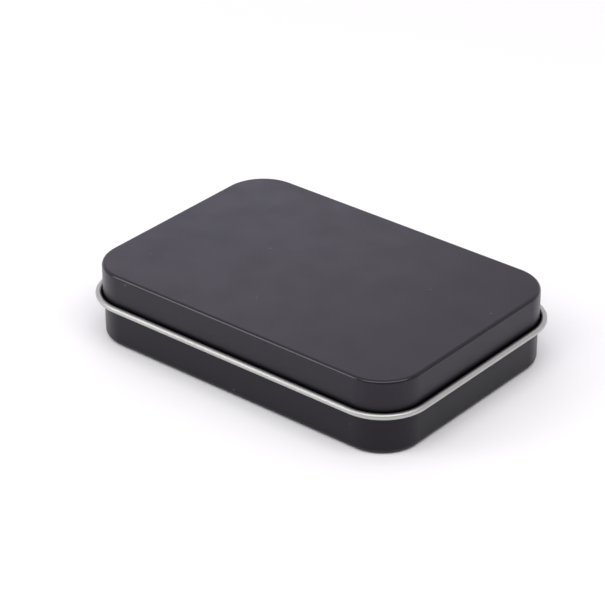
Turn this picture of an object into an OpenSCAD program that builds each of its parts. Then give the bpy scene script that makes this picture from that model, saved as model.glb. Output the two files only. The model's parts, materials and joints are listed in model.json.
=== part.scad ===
// Card game tin with a hinged lid, closed, in millimetres.
// X runs along the length, Y from the front to the hinge, Z up from the table.
// The origin is on the table under the middle of the tin.

/* [Overall size] */
// Length over the lid's wall, left to right
lid_l = 100; // [85:1:140]
// Width over the lid's wall, front to back
lid_w = 68.8; // [55:0.2:100]
// Height of the closed tin
tin_h = 20.8; // [18:0.2:40]
// Radius of the lid's upright corners
corner_r = 11.5; // [8:0.5:20]

/* [Sheet] */
// Thickness of the tinplate
sheet_t = 0.25; // [0.2:0.01:0.35]
// Clearance between lid and tray, and between rim and hinge ears
slip_gap = 0.1; // [0.06:0.01:0.2]

/* [Lid] */
// Outside radius of the lid's top edge
lid_edge_r = 0.9; // [0.6:0.1:2]
// Depth of the lid, from its top down to the middle of the rolled rim
lid_depth = 9; // [8.6:0.05:12]
// Width of the rolled rim, from the skirt's inner side to the rim's face
rim_w = 2.2; // [2:0.05:2.6]
// Outside radius of the rim's curl, and of the turn that leads to it
rim_r = 0.8; // [0.7:0.01:0.9]
// Angle that the curl runs through above the rim's middle before the sheet's edge
rim_tuck_deg = 150; // [90:5:160]

/* [Tray] */
// Outside radius of the tray's bottom edge
tray_edge_r = 1.7; // [0.8:0.1:3]
// Height above the rim's middle where the wall starts to lean in
lean_rise = 2; // [1:0.1:3]
// Clearance between the hem and the front of the swinging lid
swing_gap = 0.1; // [0.05:0.01:0.3]
// Height of the folded hem round the mouth
hem_h = 1.3; // [1:0.1:2]
// Space left inside the fold
fold_gap = 0.1; // [0.04:0.02:0.3]
// Clearance between the hem and the lid's panel
seat_gap = 0.08; // [0.04:0.01:0.2]

/* [Hinge] */
// Width of each hinge ear
ear_w = 9; // [6:0.5:14]
// Distance between the middles of the two ears
ear_pitch = 52; // [30:1:60]
// Length of the ear's straight leg outside the rim
ear_leg = 0.7; // [0.4:0.05:1.2]
// Inside radius of the ear's end, which turns in under the rim
ear_tuck_r = 0.78; // [0.7:0.01:1]
// Angle that the ear's end turns through
ear_tuck_deg = 138; // [110:1:145]
// Clearance at each side of an ear in the lid's slot
slot_side = 0.5; // [0.3:0.1:1]
// Clearance over an ear in the lid's slot
slot_over = 0.12; // [0.1:0.01:0.2]
// Angle at which the open lid meets the ears
open_deg = 110; // [95:1:120]
// Clearance that is left at that angle
stop_gap = 0.03; // [0.02:0.01:0.06]

/* [Hidden] */
$fn = 72;

lacquer = [0.2, 0.19, 0.22];
bare_tin = [0.8, 0.79, 0.81];

// The tray's wall is one sheet and one clearance inside the lid's.
tray_inset = sheet_t + slip_gap;
tray_l = lid_l - 2 * tray_inset;
tray_w = lid_w - 2 * tray_inset;
tray_r = corner_r - tray_inset;

rim_z = tin_h - lid_depth;
lean_z = rim_z + lean_rise;
hem_top = tin_h - sheet_t - seat_gap;
hem_z = hem_top - hem_h;
fold_r = fold_gap / 2 + sheet_t;

// The rim is the hinge pin. It turns about its middle, and the ears run round that.
pin_r = rim_w / 2;
pin_out = pin_r - sheet_t;
pin_y = lid_w / 2 + pin_out;
ear_r = pin_r + slip_gap;
ear_out_r = ear_r + sheet_t;

// The front of the skirt swings on this radius, so the tray's wall leans in to clear it.
swing_r = lid_w + pin_out - sheet_t;
lean_in = swing_r - sqrt(pow(swing_r, 2) - pow(hem_top - rim_z, 2)) + swing_gap - slip_gap;

// The slot's upper edge swings round the pin until it meets the ear's leg.
slot_h = sqrt(pow(ear_out_r, 2) - pow(pin_out, 2)) + slot_over;
slot_reach = norm([slot_h, pin_out]);
slot_deg = 180 - atan2(slot_h, pin_out);
leg_deg = slot_deg - open_deg + acos(ear_out_r / (slot_reach - stop_gap));

// Flat length of an ear, which is the height of the window that it is bent out of.
ear_flat = (180 - leg_deg) * PI / 180 * (ear_r + sheet_t / 2)
    + ear_leg
    + ear_tuck_deg * PI / 180 * (ear_tuck_r + sheet_t / 2);

// A stretch of bent sheet, counted anticlockwise round the origin
module bend(inner_r, from_deg, to_deg) {
    outer_r = inner_r + sheet_t;
    steps = ceil((to_deg - from_deg) / 45);
    intersection() {
        difference() {
            circle(outer_r);
            circle(inner_r);
        }
        polygon([
            [0, 0],
            for (i = [0:steps])
                let (a = from_deg + (to_deg - from_deg) * i / steps)
                2 * outer_r * [cos(a), sin(a)]
        ]);
    }
}

// Takes a section round a rounded rectangle. Its x is the distance outside the wall, its y the height.
module swept(len, wid, rad) {
    for (side = [0:3]) {
        across = (side % 2 == 0 ? len : wid) / 2;
        along = (side % 2 == 0 ? wid : len) / 2 - rad;
        rotate(90 * side) {
            translate([across, 0, 0])
                rotate([90, 0, 0])
                    linear_extrude(2 * along, center = true)
                        children();
            translate([across - rad, along, 0])
                rotate_extrude(angle = 90)
                    translate([rad, 0])
                        children();
        }
    }
}

// A flat sheet with rounded corners, its underside at height 0
module panel(len, wid, rad) {
    for (side = [0:3]) {
        across = (side % 2 == 0 ? len : wid) / 2 - rad;
        along = (side % 2 == 0 ? wid : len) / 2 - rad;
        rotate(90 * side) {
            translate([across, -along, 0])
                cube([rad, 2 * along, sheet_t]);
            translate([across, along, 0])
                rotate_extrude(angle = 90)
                    square([rad, sheet_t]);
        }
    }
    translate([rad - len / 2, rad - wid / 2, 0])
        cube([len - 2 * rad, wid - 2 * rad, sheet_t]);
}

// Stands a section on the hinge side, across the length of one ear or slot
module on_hinge_side(x, width) {
    translate([x, 0, 0])
        rotate([90, 0, 90])
            linear_extrude(width, center = true)
                children();
}

module lid_section() {
    translate([-sheet_t, rim_z])
        square([sheet_t, tin_h - lid_edge_r - rim_z]);
    translate([-lid_edge_r, tin_h - lid_edge_r])
        bend(lid_edge_r - sheet_t, 0, 90);
}

// Section of the rim: out from the skirt, and curled up and in again over the gutter
module rim_section() {
    turn_x = rim_r - sheet_t;
    curl_x = rim_w - sheet_t - rim_r;
    translate([turn_x, rim_z])
        bend(turn_x, 180, 270);
    translate([turn_x, rim_z - rim_r])
        square([curl_x - turn_x, sheet_t]);
    translate([curl_x, rim_z])
        bend(rim_r - sheet_t, 270, 360 + rim_tuck_deg);
}

module tray_section() {
    translate([-tray_edge_r, tray_edge_r])
        bend(tray_edge_r - sheet_t, 270, 360);
    polygon([
        [-sheet_t, tray_edge_r],
        [0, tray_edge_r],
        [0, lean_z],
        [-lean_in, hem_z],
        [-lean_in - sheet_t, hem_z],
        [-sheet_t, lean_z]
    ]);
}

module hem_section() {
    translate([-lean_in - fold_r, 0]) {
        for (leg = [-fold_r, fold_r - sheet_t])
            translate([leg, hem_z])
                square([sheet_t, hem_h - fold_r]);
        translate([0, hem_top - fold_r])
            bend(fold_gap / 2, 0, 180);
    }
}

// Section of an ear, bent over the rim from the tray's wall and in again under it
module ear_section() {
    rotate(leg_deg) {
        bend(ear_r, 0, 180 - leg_deg);
        translate([ear_r, -ear_leg])
            square([sheet_t, ear_leg]);
        translate([ear_r - ear_tuck_r, -ear_leg])
            bend(ear_tuck_r, -ear_tuck_deg, 0);
    }
}

// Bent outward, so the sheet's bare side shows
module hinge_ear(x) {
    color(bare_tin)
        on_hinge_side(x, ear_w)
            translate([pin_y, rim_z])
                ear_section();
}

// Tray: floor, bottom edge and wall, with a window above each ear's root
module base_tray() {
    color(lacquer)
        difference() {
            union() {
                swept(tray_l, tray_w, tray_r)
                    tray_section();
                panel(tray_l - 2 * tray_edge_r, tray_w - 2 * tray_edge_r, tray_r - tray_edge_r);
            }
            for (x = [-ear_pitch / 2, ear_pitch / 2])
                on_hinge_side(x, ear_w)
                    translate([tray_w / 2 - lean_in - 2 * sheet_t, rim_z])
                        square([lean_in + 3 * sheet_t, ear_flat]);
        }
}

// Hem: the wall's top edge folded in and down
module base_hem() {
    color(lacquer)
        swept(tray_l, tray_w, tray_r)
            hem_section();
}

module hinge_ear_left() {
    hinge_ear(-ear_pitch / 2);
}

module hinge_ear_right() {
    hinge_ear(ear_pitch / 2);
}

// Lid: panel, top edge and skirt, with a slot for each ear
module lid_shell() {
    color(lacquer)
        difference() {
            union() {
                swept(lid_l, lid_w, corner_r)
                    lid_section();
                translate([0, 0, tin_h - sheet_t])
                    panel(lid_l - 2 * lid_edge_r, lid_w - 2 * lid_edge_r, corner_r - lid_edge_r);
            }
            for (x = [-ear_pitch / 2, ear_pitch / 2])
                on_hinge_side(x, ear_w + 2 * slot_side)
                    translate([lid_w / 2 - 2 * sheet_t, rim_z - sheet_t])
                        square([3 * sheet_t, slot_h + sheet_t]);
        }
}

// Rim: the skirt's lower edge rolled outward into an open gutter, with its bare side showing
module lid_rim() {
    color(bare_tin)
        swept(lid_l, lid_w, corner_r)
            rim_section();
}

base_tray();
base_hem();
hinge_ear_left();
hinge_ear_right();
lid_shell();
lid_rim();
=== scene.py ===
import json
import math
import bmesh
import bpy
from mathutils import Matrix, Vector


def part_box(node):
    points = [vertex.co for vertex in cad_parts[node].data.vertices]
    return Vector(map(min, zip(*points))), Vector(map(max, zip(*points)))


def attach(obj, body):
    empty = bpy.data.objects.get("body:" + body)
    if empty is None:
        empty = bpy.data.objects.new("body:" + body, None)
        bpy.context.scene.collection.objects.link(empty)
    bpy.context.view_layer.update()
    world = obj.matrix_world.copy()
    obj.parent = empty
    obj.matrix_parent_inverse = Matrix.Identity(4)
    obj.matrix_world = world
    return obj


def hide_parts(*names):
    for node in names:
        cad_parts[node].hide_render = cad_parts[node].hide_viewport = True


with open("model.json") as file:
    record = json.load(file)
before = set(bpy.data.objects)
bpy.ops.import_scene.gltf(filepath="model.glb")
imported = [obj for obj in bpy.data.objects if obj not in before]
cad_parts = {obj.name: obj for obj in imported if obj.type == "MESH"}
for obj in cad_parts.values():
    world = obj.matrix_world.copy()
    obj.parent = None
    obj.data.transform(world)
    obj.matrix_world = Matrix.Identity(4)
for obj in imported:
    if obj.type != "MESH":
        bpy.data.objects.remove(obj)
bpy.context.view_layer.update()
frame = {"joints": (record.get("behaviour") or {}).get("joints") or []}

mm = 0.001

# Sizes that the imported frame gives
lidLow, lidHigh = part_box("lid_shell")
rimLow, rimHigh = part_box("lid_rim")
trayLow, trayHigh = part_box("base_tray")
hemLow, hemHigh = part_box("base_hem")
hingePin = Vector(frame["joints"][0]["pos_m"])

sheet = {
    "thickness": 0.25 * mm,
    "cutRounding": 0.03 * mm,  # burr-free edge of the cut sheet
    "cornerSteps": 24,  # facets in a quarter turn of an upright corner
    "bendStep": 7.5,  # degrees between two rings in a bend
    "weld": 0.001 * mm,  # points closer than this become one
    "seamReach": 0.02 * mm,  # an edge this near to a seam belongs to it
    "cutAngle": 55,  # degrees from which an edge counts as cut and is rounded
    "sharpAngle": 50,  # degrees from which an edge stays sharp in the shading
    "faceWeight": 90,  # how much the larger faces lead the shading
}


# Meshes


def arc(centre, radius, fromAngle, toAngle):
    steps = max(1, round(abs(toAngle - fromAngle) / sheet["bendStep"]))
    points = []
    for step in range(steps + 1):
        angle = math.radians(fromAngle + (toAngle - fromAngle) * step / steps)
        points.append((centre[0] + radius * math.cos(angle), centre[1] + radius * math.sin(angle)))
    return points


def wallPlan(low, high, cornerRadius):
    return {
        "length": high.x - low.x,
        "width": high.y - low.y,
        "cornerRadius": cornerRadius,
        "core": Vector(((high.x - low.x) / 2 - cornerRadius, (high.y - low.y) / 2 - cornerRadius)),
    }


def corePoint(plan, place):
    core = plan["core"]
    return Vector((max(-core.x, min(core.x, place.x)), max(-core.y, min(core.y, place.y))))


def outsideWall(plan, place):
    return (place.xy - corePoint(plan, place)).length - plan["cornerRadius"]


# Folds one sheet from a flat plan: the section lists how far outside the wall and how high each ring lies
def foldedSheet(plan, section, floored):
    reach, height = section[0]
    bm = bmesh.new()
    bmesh.ops.create_grid(bm, x_segments=1, y_segments=1, size=0.5)
    bmesh.ops.scale(bm, vec=(plan["length"] + 2 * reach, plan["width"] + 2 * reach, 1), verts=bm.verts)
    bmesh.ops.translate(bm, vec=(0, 0, height), verts=bm.verts)
    bmesh.ops.bevel(bm, geom=bm.verts[:], offset=plan["cornerRadius"] + reach, offset_type="OFFSET",
                    segments=sheet["cornerSteps"], profile=0.5, affect="VERTICES", material=-1)
    if not floored:
        bmesh.ops.delete(bm, geom=bm.faces[:], context="FACES_ONLY")
    ring = bm.edges[:]
    for reach, height in section[1:]:
        ring = extrudedEdges(bm, ring)
        for corner in {vert for edge in ring for vert in edge.verts}:
            core = corePoint(plan, corner.co)
            outward = (corner.co.xy - core).normalized()
            flat = core + outward * (plan["cornerRadius"] + reach)
            corner.co = (flat.x, flat.y, height)
    faceOutward(bm, 0)
    return bm


def extrudedEdges(bm, edges):
    made = bmesh.ops.extrude_edge_only(bm, edges=edges)["geom"]
    return [part for part in made if isinstance(part, bmesh.types.BMEdge)]


def faceOutward(bm, axis):
    bmesh.ops.remove_doubles(bm, verts=bm.verts, dist=sheet["weld"])
    bmesh.ops.recalc_face_normals(bm, faces=bm.faces)
    outermost = max(bm.faces, key=lambda face: face.calc_center_median()[axis])
    if outermost.normal[axis] < 0:
        bmesh.ops.reverse_faces(bm, faces=bm.faces)


# Takes a window out of the faces behind wallY, between two corners given as x and height
def cutWindow(bm, wallY, low, high):
    across, upright = (1, 0, 0), (0, 0, 1)
    for planePlace, planeNormal in ((low, across), (high, across), (low, upright), (high, upright)):
        wall = [face for face in bm.faces if face.calc_center_median().y > wallY]
        touched = {part for face in wall for part in (*face.verts, *face.edges)}
        bmesh.ops.bisect_plane(bm, geom=wall + list(touched), dist=sheet["weld"],
                               plane_co=(planePlace[0], 0, planePlace[1]), plane_no=planeNormal)
    inside = []
    for face in bm.faces:
        middle = face.calc_center_median()
        if middle.y > wallY and low[0] < middle.x < high[0] and low[1] < middle.z < high[1]:
            inside.append(face)
    bmesh.ops.delete(bm, geom=inside, context="FACES")


# Gives the sheet its wall on the side away from its faces, and rounds the cut edges that are no seam
def thicken(bm, onSeam):
    shown = set(bm.faces)
    made = bmesh.ops.solidify(bm, geom=bm.faces[:], thickness=sheet["thickness"])["geom"]
    behind = {part for part in made if isinstance(part, bmesh.types.BMFace)}
    for face in bm.faces:
        face.material_index = 0 if face in shown else 1 if face in behind else 2
    cut = []
    for edge in bm.edges:
        middle = (edge.verts[0].co + edge.verts[1].co) / 2
        if not edge.is_manifold or onSeam(middle):
            continue
        if edge.calc_face_angle() > math.radians(sheet["cutAngle"]):
            cut.append(edge)
    bmesh.ops.bevel(bm, geom=cut, offset=sheet["cutRounding"], offset_type="OFFSET", segments=2,
                    profile=0.5, affect="EDGES", clamp_overlap=True, material=-1)


def finishPiece(bm, name, materials, body, node):
    mesh = bpy.data.meshes.new(name)
    bm.to_mesh(mesh)
    bm.free()
    for material in materials:
        mesh.materials.append(material)
    mesh.shade_smooth()
    mesh.set_sharp_from_angle(angle=math.radians(sheet["sharpAngle"]))
    piece = bpy.data.objects.new(name, mesh)
    bpy.context.scene.collection.objects.link(piece)
    weights = piece.modifiers.new("faceWeights", "WEIGHTED_NORMAL")
    weights.keep_sharp = True
    weights.weight = sheet["faceWeight"]
    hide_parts(node)
    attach(piece, body)
    print("made", name, "with", len(mesh.polygons), "faces")
    return piece


# Materials


def newGroup(name, inputs, outputs):
    tree = bpy.data.node_groups.new(name, "ShaderNodeTree")
    for label, kind, value in inputs:
        socket = tree.interface.new_socket(name=label, in_out="INPUT", socket_type=kind)
        socket.default_value = value
    for label, kind in outputs:
        tree.interface.new_socket(name=label, in_out="OUTPUT", socket_type=kind)
    return tree, tree.nodes.new("NodeGroupInput"), tree.nodes.new("NodeGroupOutput")


def placeGroup(tree, group, values=None):
    node = tree.nodes.new("ShaderNodeGroup")
    node.node_tree = group
    for label, value in (values or {}).items():
        node.inputs[label].default_value = value
    return node


def maths(tree, operation, first, second=0.0, third=0.0):
    node = tree.nodes.new("ShaderNodeMath")
    node.operation = operation
    for socket, value in zip(node.inputs, (first, second, third)):
        if isinstance(value, bpy.types.NodeSocket):
            tree.links.new(value, socket)
        else:
            socket.default_value = value
    return node.outputs[0]


def remap(tree, value, fromLow, fromHigh, toLow, toHigh):
    node = tree.nodes.new("ShaderNodeMapRange")
    tree.links.new(value, node.inputs["Value"])
    node.inputs["From Min"].default_value = fromLow
    node.inputs["From Max"].default_value = fromHigh
    node.inputs["To Min"].default_value = toLow
    node.inputs["To Max"].default_value = toHigh
    return node.outputs[0]


def mixColours(tree, mask, under, over):
    node = tree.nodes.new("ShaderNodeMix")
    node.data_type = "RGBA"
    tree.links.new(mask, node.inputs[0])
    for socket, value in ((node.inputs[6], under), (node.inputs[7], over)):
        if isinstance(value, bpy.types.NodeSocket):
            tree.links.new(value, socket)
        else:
            socket.default_value = (*value, 1)
    return node.outputs[2]


def scaledPlace(tree, scale):
    place = tree.nodes.new("ShaderNodeTexCoord")
    mapping = tree.nodes.new("ShaderNodeMapping")
    mapping.inputs["Scale"].default_value = scale
    tree.links.new(place.outputs["Object"], mapping.inputs["Vector"])
    return mapping.outputs[0]


def noise(tree, vector, scale, detail, roughness=0.5):
    node = tree.nodes.new("ShaderNodeTexNoise")
    node.inputs["Detail"].default_value = detail
    node.inputs["Roughness"].default_value = roughness
    if isinstance(scale, bpy.types.NodeSocket):
        tree.links.new(scale, node.inputs["Scale"])
    else:
        node.inputs["Scale"].default_value = scale
    tree.links.new(vector, node.inputs["Vector"])
    return node.outputs[0]


def bumped(tree, shader, height, depth):
    bump = tree.nodes.new("ShaderNodeBump")
    bump.inputs["Distance"].default_value = depth
    tree.links.new(height, bump.inputs["Height"])
    tree.links.new(bump.outputs["Normal"], shader.inputs["Normal"])


def newMaterial(name):
    material = bpy.data.materials.new(name)
    material.use_nodes = True
    tree = material.node_tree
    return material, tree, tree.nodes["Principled BSDF"]


middleLevels = (0.3, 0.7)  # most of a noise pattern lies between these


# How far a point lies outside the lid's upright wall
def outsideGroup():
    plan = wallPlan(lidLow, lidHigh, lidShell["cornerRadius"])
    tree, given, result = newGroup(
        "outsideWall",
        [("Core", "NodeSocketVector", (*plan["core"], 0)),
         ("Corner Radius", "NodeSocketFloat", plan["cornerRadius"])],
        [("Distance", "NodeSocketFloat"), ("Height", "NodeSocketFloat")])
    place = tree.nodes.new("ShaderNodeTexCoord")
    steps = []
    for operation in ("ABSOLUTE", "SUBTRACT", "MAXIMUM", "MULTIPLY", "LENGTH"):
        step = tree.nodes.new("ShaderNodeVectorMath")
        step.operation = operation
        steps.append(step)
    tree.links.new(place.outputs["Object"], steps[0].inputs[0])
    tree.links.new(given.outputs["Core"], steps[1].inputs[1])
    steps[3].inputs[1].default_value = (1, 1, 0)
    for before, after in zip(steps, steps[1:]):
        tree.links.new(before.outputs[0], after.inputs[0])
    distance = maths(tree, "SUBTRACT", steps[4].outputs["Value"], given.outputs["Corner Radius"])
    tree.links.new(distance, result.inputs["Distance"])
    parts = tree.nodes.new("ShaderNodeSeparateXYZ")
    tree.links.new(place.outputs["Object"], parts.inputs[0])
    tree.links.new(parts.outputs["Z"], result.inputs["Height"])
    return tree


# Where the mask is 0 and where 1: how far outside the bend's sharp corner, in shares of its radius
crest = {"ends": -0.95, "middle": -0.6}


# 1 on the crest of the bend between a wall and a level panel, falling to 0 at both ends of the bend
def bendGroup(outside):
    tree, given, result = newGroup(
        "bendCrest",
        [("Level", "NodeSocketFloat", 0.0), ("Facing", "NodeSocketFloat", 1.0),
         ("Wall", "NodeSocketFloat", 0.0), ("Bend Radius", "NodeSocketFloat", lidShell["edgeRadius"])],
        [("Mask", "NodeSocketFloat")])
    spot = placeGroup(tree, outside)
    inward = maths(tree, "SUBTRACT", spot.outputs["Distance"], given.outputs["Wall"])
    above = maths(tree, "SUBTRACT", spot.outputs["Height"], given.outputs["Level"])
    depth = maths(tree, "MULTIPLY_ADD", above, given.outputs["Facing"], inward)
    share = maths(tree, "DIVIDE", depth, given.outputs["Bend Radius"])
    tree.links.new(remap(tree, share, crest["ends"], crest["middle"], 0, 1), result.inputs["Mask"])
    return tree


curlLines = {"fineness": 9000.0, "stretch": (0.01, 0.01, 0), "detail": 3, "roughness": 0.6}


# Fine lines that the curling rolls leave along the rim
def curlGroup(outside):
    tree, given, result = newGroup(
        "curlingLines",
        [("Fineness", "NodeSocketFloat", curlLines["fineness"])],
        [("Lines", "NodeSocketFloat")])
    spot = placeGroup(tree, outside)
    section = tree.nodes.new("ShaderNodeCombineXYZ")
    tree.links.new(spot.outputs["Distance"], section.inputs["X"])
    tree.links.new(spot.outputs["Height"], section.inputs["Y"])
    joined = tree.nodes.new("ShaderNodeVectorMath")
    joined.operation = "ADD"
    tree.links.new(section.outputs[0], joined.inputs[0])
    tree.links.new(scaledPlace(tree, curlLines["stretch"]), joined.inputs[1])
    lines = noise(tree, joined.outputs[0], given.outputs["Fineness"], curlLines["detail"],
                  curlLines["roughness"])
    tree.links.new(lines, result.inputs["Lines"])
    return tree


rolledGrain = {"fineness": 3500.0, "stretch": (0.03, 1, 1), "detail": 4, "roughness": 0.7,
               "cloudScale": 45, "cloudDetail": 3}


# Fine lines left by the rolling mill, along X, and clouds in the tin
def grainGroup():
    tree, given, result = newGroup(
        "rollingGrain",
        [("Fineness", "NodeSocketFloat", rolledGrain["fineness"])],
        [("Lines", "NodeSocketFloat"), ("Clouds", "NodeSocketFloat")])
    along = scaledPlace(tree, rolledGrain["stretch"])
    lines = noise(tree, along, given.outputs["Fineness"], rolledGrain["detail"], rolledGrain["roughness"])
    tree.links.new(lines, result.inputs["Lines"])
    clouds = noise(tree, scaledPlace(tree, (1, 1, 1)), rolledGrain["cloudScale"], rolledGrain["cloudDetail"])
    tree.links.new(clouds, result.inputs["Clouds"])
    return tree


filmPatterns = {
    "Wave": {"scale": 900.0, "detail": 2},
    "Cloud": {"scale": 110.0, "detail": 3},
    "Scuff": {"scale": 1500.0, "detail": 4},
}


# Sprayed and baked lacquer: small soft waves, wider clouds where the film is thicker, and scuffs
def peelGroup():
    tree, given, result = newGroup(
        "lacquerPeel",
        [(label + " Scale", "NodeSocketFloat", pattern["scale"]) for label, pattern in filmPatterns.items()],
        [(label + "s", "NodeSocketFloat") for label in filmPatterns])
    place = scaledPlace(tree, (1, 1, 1))
    for label, pattern in filmPatterns.items():
        levels = noise(tree, place, given.outputs[label + " Scale"], pattern["detail"])
        tree.links.new(levels, result.inputs[label + "s"])
    return tree


specks = {
    "cells": 200.0,  # cells in a metre, with one speck at most in each
    "share": 0.6,  # level under which a cell has its speck
    "size": 0.03,  # radius of a speck, as a share of a cell
}


# A few specks of dust
def dustGroup():
    tree, given, result = newGroup(
        "dustSpecks",
        [("Cells", "NodeSocketFloat", specks["cells"]), ("Share", "NodeSocketFloat", specks["share"]),
         ("Size", "NodeSocketFloat", specks["size"])],
        [("Specks", "NodeSocketFloat")])
    cells = tree.nodes.new("ShaderNodeTexVoronoi")
    tree.links.new(given.outputs["Cells"], cells.inputs["Scale"])
    tree.links.new(scaledPlace(tree, (1, 1, 1)), cells.inputs["Vector"])
    chosen = maths(tree, "LESS_THAN", cells.outputs["Color"], given.outputs["Share"])
    near = maths(tree, "LESS_THAN", cells.outputs["Distance"], given.outputs["Size"])
    tree.links.new(maths(tree, "MULTIPLY", chosen, near), result.inputs["Specks"])
    return tree


lacquer = {
    "thin": (0.0012, 0.001, 0.0022),
    "thick": (0.003, 0.0026, 0.0045),
    # lighter lacquer on the bend crests: partly wear, partly a painted sheen along the lid's top edge and
    # the tray's bottom edge
    "wornAndSheen": (0.012, 0.011, 0.014),
    "dust": (0.2, 0.195, 0.205),
    "wearFrom": 0.6,  # scuff levels between which the wear and the painted sheen set in
    "wearTo": 0.8,
    "smoothest": 0.31,
    "roughest": 0.39,
    "rubbed": 0.1,  # added to the roughness where hands and the table rub
    "stretched": -0.16,  # added to the roughness on the lid's bend, where the film is drawn smooth
    "crestShine": 0.28,  # clear film that the drawing leaves on the lid's bend
    "crestRoughness": 0.12,
    "lidGloss": 0.5,
    "trayGloss": 0.37,  # the tray is sprayed with less lacquer
    "waveDepth": 0.004 * mm,
    "indexOfRefraction": 1.46,
    "mirrorTint": (0.92, 0.87, 1.0, 1),
}


def lacquerMaterial(name, gloss, groups):
    material, tree, shader = newMaterial(name)
    peel = placeGroup(tree, groups["peel"])
    dust = placeGroup(tree, groups["dust"])
    lidBend = placeGroup(tree, groups["bend"], {"Level": lidHigh.z, "Facing": 1.0, "Wall": 0.0,
                                                "Bend Radius": lidShell["edgeRadius"]})
    trayBend = placeGroup(tree, groups["bend"], {"Level": trayLow.z, "Facing": -1.0,
                                                 "Wall": trayHigh.x - lidHigh.x,
                                                 "Bend Radius": baseTray["edgeRadius"]})
    bends = maths(tree, "MAXIMUM", lidBend.outputs["Mask"], trayBend.outputs["Mask"])
    scuffs = remap(tree, peel.outputs["Scuffs"], lacquer["wearFrom"], lacquer["wearTo"], 0, 1)
    wornAndSheen = maths(tree, "MULTIPLY", bends, scuffs)
    film = mixColours(tree, peel.outputs["Clouds"], lacquer["thin"], lacquer["thick"])
    # lighter patches on the bend crests: partly scuff wear, partly a painted sheen on the edges
    film = mixColours(tree, wornAndSheen, film, lacquer["wornAndSheen"])
    film = mixColours(tree, dust.outputs["Specks"], film, lacquer["dust"])
    tree.links.new(film, shader.inputs["Base Color"])
    rough = remap(tree, peel.outputs["Clouds"], *middleLevels, lacquer["smoothest"], lacquer["roughest"])
    rough = maths(tree, "MULTIPLY_ADD", lidBend.outputs["Mask"], lacquer["stretched"], rough)
    rubbed = maths(tree, "MAXIMUM", wornAndSheen, trayBend.outputs["Mask"])
    rough = maths(tree, "MULTIPLY_ADD", rubbed, lacquer["rubbed"], rough)
    tree.links.new(rough, shader.inputs["Roughness"])
    shine = maths(tree, "MULTIPLY", lidBend.outputs["Mask"], lacquer["crestShine"])
    tree.links.new(shine, shader.inputs["Coat Weight"])
    shader.inputs["Coat Roughness"].default_value = lacquer["crestRoughness"]
    shader.inputs["IOR"].default_value = lacquer["indexOfRefraction"]
    shader.inputs["Specular IOR Level"].default_value = gloss
    shader.inputs["Specular Tint"].default_value = lacquer["mirrorTint"]
    bumped(tree, shader, peel.outputs["Waves"], lacquer["waveDepth"])
    return material


bareTin = {
    "dull": (0.465, 0.47, 0.45),
    "bright": (0.555, 0.565, 0.54),
    "smoothest": 0.4,
    "roughest": 0.5,
    "lineDepth": 0.002 * mm,
}


def bareTinMaterial(name, lines, clouds):
    material, tree, shader = newMaterial(name)
    lined = placeGroup(tree, lines)
    clouded = placeGroup(tree, clouds)
    colour = mixColours(tree, clouded.outputs["Clouds"], bareTin["dull"], bareTin["bright"])
    tree.links.new(colour, shader.inputs["Base Color"])
    rough = remap(tree, lined.outputs["Lines"], *middleLevels, bareTin["smoothest"], bareTin["roughest"])
    tree.links.new(rough, shader.inputs["Roughness"])
    shader.inputs["Metallic"].default_value = 1.0
    bumped(tree, shader, lined.outputs["Lines"], bareTin["lineDepth"])
    return material


# The pieces

seamHeight = lidLow.z + 0.05 * mm  # the lid's skirt hands over to its rim just above the first bend

lidShell = {
    "cornerRadius": 11.5 * mm,
    "edgeRadius": 0.9 * mm,
    "slotHigh": 1.295 * mm,
    "slotWide": 10.0 * mm,
    "slotBelow": 1 * mm,  # the slot is open at the bottom, so its cut runs out below the seam
    "wallDepth": 0.1 * mm,  # only faces this near to the back are cut
}
hinge = {"earMiddles": (-26.0 * mm, 26.0 * mm), "earWide": 9.0 * mm}


def makeLidShell(materials):
    top, edge = lidHigh.z, lidShell["edgeRadius"]
    plan = wallPlan(lidLow, lidHigh, lidShell["cornerRadius"])
    section = arc((-edge, top - edge), edge, 90, 0) + [(0, seamHeight)]
    bm = foldedSheet(plan, section, True)
    for middle in hinge["earMiddles"]:
        side = lidShell["slotWide"] / 2
        cutWindow(bm, lidHigh.y - lidShell["wallDepth"], (middle - side, seamHeight - lidShell["slotBelow"]),
                  (middle + side, lidLow.z + lidShell["slotHigh"]))
    thicken(bm, lambda place: abs(place.z - seamHeight) < sheet["seamReach"])
    return finishPiece(bm, "lidShell", materials, "lid", "lid_shell")


lidRim = {"tuckAngle": 150}  # degrees of curl above the rim's middle


def makeLidRim(materials):
    thickness, level = sheet["thickness"], lidLow.z
    plan = wallPlan(lidLow, lidHigh, lidShell["cornerRadius"])
    radius = level - rimLow.z
    curlMiddle = rimHigh.x - lidHigh.x - radius
    section = [(-thickness, seamHeight)]
    section += arc((radius - thickness, level), radius, 180, 270)
    section += arc((curlMiddle, level), radius, 270, 360 + lidRim["tuckAngle"])
    bm = foldedSheet(plan, section, False)
    thicken(bm, lambda place: abs(place.z - seamHeight) < sheet["seamReach"])
    return finishPiece(bm, "lidRim", materials, "lid", "lid_rim")


baseTray = {
    "cornerRadius": 11.15 * mm,
    "edgeRadius": 1.7 * mm,
    "leanHeight": 13.8 * mm,  # where the wall starts to lean in
    "windowHigh": 6.33 * mm,  # window that an ear is bent out of
    "wallDepth": 1 * mm,  # only faces this near to the back are cut
}


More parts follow.
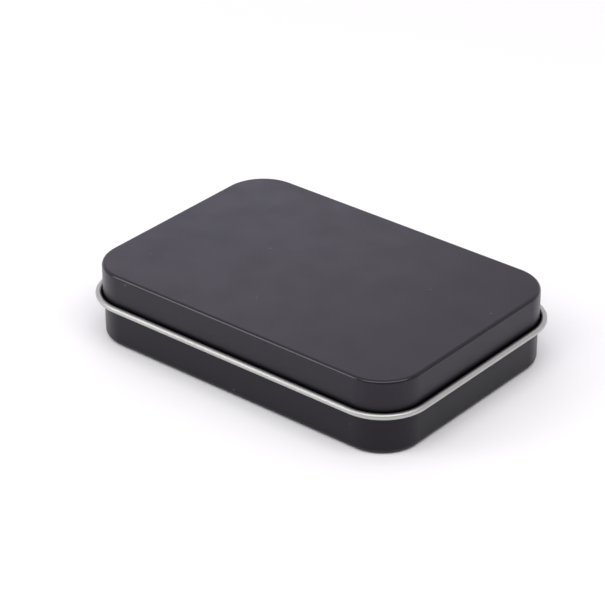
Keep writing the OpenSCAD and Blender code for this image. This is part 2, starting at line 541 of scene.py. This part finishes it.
def makeBaseTray(materials):
    edge, leanIn = baseTray["edgeRadius"], trayHigh.x - hemHigh.x
    plan = wallPlan(trayLow, trayHigh, baseTray["cornerRadius"])
    section = arc((-edge, trayLow.z + edge), edge, 270, 360)
    section += [(0, baseTray["leanHeight"]), (-leanIn, hemLow.z)]
    bm = foldedSheet(plan, section, True)
    for middle in hinge["earMiddles"]:
        side = hinge["earWide"] / 2
        cutWindow(bm, trayHigh.y - baseTray["wallDepth"], (middle - side, lidLow.z),
                  (middle + side, lidLow.z + baseTray["windowHigh"]))
    thicken(bm, lambda place: abs(place.z - hemLow.z) < sheet["seamReach"])
    return finishPiece(bm, "baseTray", materials, "tray", "base_tray")


baseHem = {"foldRadius": 0.3 * mm}


def makeBaseHem(materials):
    fold, top, leanIn = baseHem["foldRadius"], hemHigh.z, trayHigh.x - hemHigh.x
    plan = wallPlan(trayLow, trayHigh, baseTray["cornerRadius"])
    section = [(-leanIn, hemLow.z)]
    section += arc((-leanIn - fold, top - fold), fold, 0, 180)
    section += [(-leanIn - 2 * fold, hemLow.z)]
    bm = foldedSheet(plan, section, False)
    near = sheet["seamReach"]
    outerLeg = -leanIn - sheet["thickness"] - near
    thicken(bm, lambda place: abs(place.z - hemLow.z) < near and outsideWall(plan, place) > outerLeg)
    return finishPiece(bm, "baseHem", materials, "tray", "base_hem")


hingeEar = {
    "outerRadius": 1.449 * mm,
    "legAngle": 30.6,
    "legLength": 0.7 * mm,
    "tuckRadius": 1.03 * mm,  # outside radius of the end that turns in under the rim
    "tuckAngle": 138,
    "seamReach": 0.01 * mm,  # the inner edge at the root lies further off, so it counts as cut
}


def makeHingeEar(name, node, middle, materials):
    radius, legAngle = hingeEar["outerRadius"], hingeEar["legAngle"]
    tuckMiddle = (radius - hingeEar["tuckRadius"], -hingeEar["legLength"])
    turn = Matrix.Rotation(math.radians(legAngle), 2)
    section = arc((0, 0), radius, 180, legAngle)
    for point in arc(tuckMiddle, hingeEar["tuckRadius"], 0, -hingeEar["tuckAngle"]):
        section.append(tuple(turn @ Vector(point)))
    bm = bmesh.new()
    ends = [bm.verts.new((middle + side * hinge["earWide"] / 2, hingePin.y + section[0][0],
                          hingePin.z + section[0][1])) for side in (-1, 1)]
    row = [bm.edges.new(ends)]
    for outward, height in section[1:]:
        row = extrudedEdges(bm, row)
        for corner in row[0].verts:
            corner.co = (corner.co.x, hingePin.y + outward, hingePin.z + height)
    faceOutward(bm, 1)
    near = hingeEar["seamReach"]
    thicken(bm, lambda place: abs(place.z - hingePin.z) < near and place.y < hingePin.y)
    return finishPiece(bm, name, materials, "tray", node)


# Camera, light and floor

camera = {
    "imagePixels": 605,
    "focalPixels": 2651.54,
    "azimuth": 39.899,
    "elevation": 29.495,
    "roll": -0.284,
    "distance": 677.952 * mm,
    "aim": Vector((0, 0, 11.5 * mm)),
    "aimRight": 4.304 * mm,  # how far the aim lies right of and above the middle of the picture
    "aimUp": -0.508 * mm,
    "sensorWidth": 36,
    "nearest": 0.01,
    "farthest": 20,
}


def placeCamera():
    azimuth, elevation = math.radians(camera["azimuth"]), math.radians(camera["elevation"])
    back = Vector((math.sin(azimuth) * math.cos(elevation), -math.cos(azimuth) * math.cos(elevation),
                   math.sin(elevation)))
    level = Vector((math.cos(azimuth), math.sin(azimuth), 0))
    turn = Matrix.Rotation(math.radians(camera["roll"]), 3, back)
    right, up = turn @ level, turn @ back.cross(level)
    data = bpy.data.cameras.new("camera")
    data.sensor_width = camera["sensorWidth"]
    data.lens = data.sensor_width * camera["focalPixels"] / camera["imagePixels"]
    data.clip_start = camera["nearest"]
    data.clip_end = camera["farthest"]
    seen = bpy.data.objects.new("camera", data)
    seen.matrix_world = Matrix((right, up, back)).transposed().to_4x4()
    seen.location = (camera["aim"] + back * camera["distance"] - right * camera["aimRight"]
                     - up * camera["aimUp"])
    bpy.context.scene.collection.objects.link(seen)
    bpy.context.scene.camera = seen


studio = {
    "floorHalf": 3.0,
    "floorGap": 0.01 * mm,  # how far the floor lies under the tin
    "floorTouch": 0.1 * mm,  # rays shorter than this pass through the floor
    "floorColour": (0.985, 0.99, 0.985, 1),
    "brightSide": Vector((-0.68, 0.48, 0.55)),  # the room is palest on this side
    "brightColour": (0.845, 0.802, 0.865),
    "darkColour": (0.28, 0.275, 0.28),
    "boxes": {
        "sideBox": {"towards": Vector((-0.556, -0.68, 0.45)), "away": 0.8, "wide": 0.32, "high": 0.4,
                    "power": 1.2, "colour": (1.0, 1.0, 1.0)},
        "stripBox": {"towards": Vector((0.34, -0.32, 0.88)), "away": 0.9, "wide": 1.5, "high": 0.44,
                     "power": 4.9, "colour": (1.0, 1.0, 1.0)},
        "backBox": {"towards": Vector((-0.62, 0.62, 0.36)), "away": 0.55, "wide": 0.22, "high": 0.2,
                    "power": 0.1, "colour": (0.78, 0.78, 1.0)},
    },
}


def makeFloor():
    bm = bmesh.new()
    bmesh.ops.create_grid(bm, x_segments=1, y_segments=1, size=studio["floorHalf"])
    bmesh.ops.translate(bm, vec=(0, 0, -studio["floorGap"]), verts=bm.verts)
    mesh = bpy.data.meshes.new("floor")
    bm.to_mesh(mesh)
    bm.free()
    floor = bpy.data.objects.new("floor", mesh)
    bpy.context.scene.collection.objects.link(floor)
    material, tree, shader = newMaterial("whiteFloor")
    shader.inputs["Base Color"].default_value = studio["floorColour"]
    shader.inputs["Roughness"].default_value = 1.0
    shader.inputs["Specular IOR Level"].default_value = 0.0
    # Clear from below and for the shortest rays, so that the underside can be looked at
    facing = tree.nodes.new("ShaderNodeNewGeometry")
    path = tree.nodes.new("ShaderNodeLightPath")
    touching = maths(tree, "LESS_THAN", path.outputs["Ray Length"], studio["floorTouch"])
    clear = maths(tree, "MAXIMUM", facing.outputs["Backfacing"], touching)
    tree.links.new(maths(tree, "SUBTRACT", 1.0, clear), shader.inputs["Alpha"])
    mesh.materials.append(material)


def makeRoom():
    world = bpy.data.worlds.new("paleRoom")
    bpy.context.scene.world = world
    world.use_nodes = True
    tree = world.node_tree
    place = tree.nodes.new("ShaderNodeTexCoord")
    facing = tree.nodes.new("ShaderNodeVectorMath")
    facing.operation = "DOT_PRODUCT"
    facing.inputs[1].default_value = studio["brightSide"].normalized()
    tree.links.new(place.outputs["Generated"], facing.inputs[0])
    share = remap(tree, facing.outputs["Value"], -1, 1, 0, 1)
    colour = mixColours(tree, share, studio["darkColour"], studio["brightColour"])
    tree.links.new(colour, tree.nodes["Background"].inputs["Color"])


def makeSoftBox(name, box):
    data = bpy.data.lights.new(name, "AREA")
    data.shape = "RECTANGLE"
    data.size = box["wide"]
    data.size_y = box["high"]
    data.energy = box["power"]
    data.color = box["colour"]
    towards = box["towards"].normalized()
    light = bpy.data.objects.new(name, data)
    light.location = towards * box["away"]
    light.rotation_euler = towards.to_track_quat("Z", "Y").to_euler()
    bpy.context.scene.collection.objects.link(light)


placeCamera()
makeFloor()
makeRoom()
for name, box in studio["boxes"].items():
    makeSoftBox(name, box)
print("camera and light are set")

outside = outsideGroup()
grain = grainGroup()
patterns = {"peel": peelGroup(), "dust": dustGroup(), "bend": bendGroup(outside)}
blackLacquer = lacquerMaterial("blackLacquer", lacquer["lidGloss"], patterns)
trayLacquer = lacquerMaterial("trayLacquer", lacquer["trayGloss"], patterns)
tin = bareTinMaterial("bareTin", grain, grain)
curledTin = bareTinMaterial("curledTin", curlGroup(outside), grain)
print("materials are made")

makeLidShell([blackLacquer, tin, tin])
makeLidRim([curledTin, blackLacquer, curledTin])
makeBaseTray([trayLacquer, tin, tin])
makeBaseHem([trayLacquer, tin, tin])
for name, node, middle in zip(("hingeEarLeft", "hingeEarRight"), ("hinge_ear_left", "hinge_ear_right"),
                              hinge["earMiddles"]):
    makeHingeEar(name, node, middle, [tin, trayLacquer, tin])

bpy.context.scene.view_settings.view_transform = "Standard"
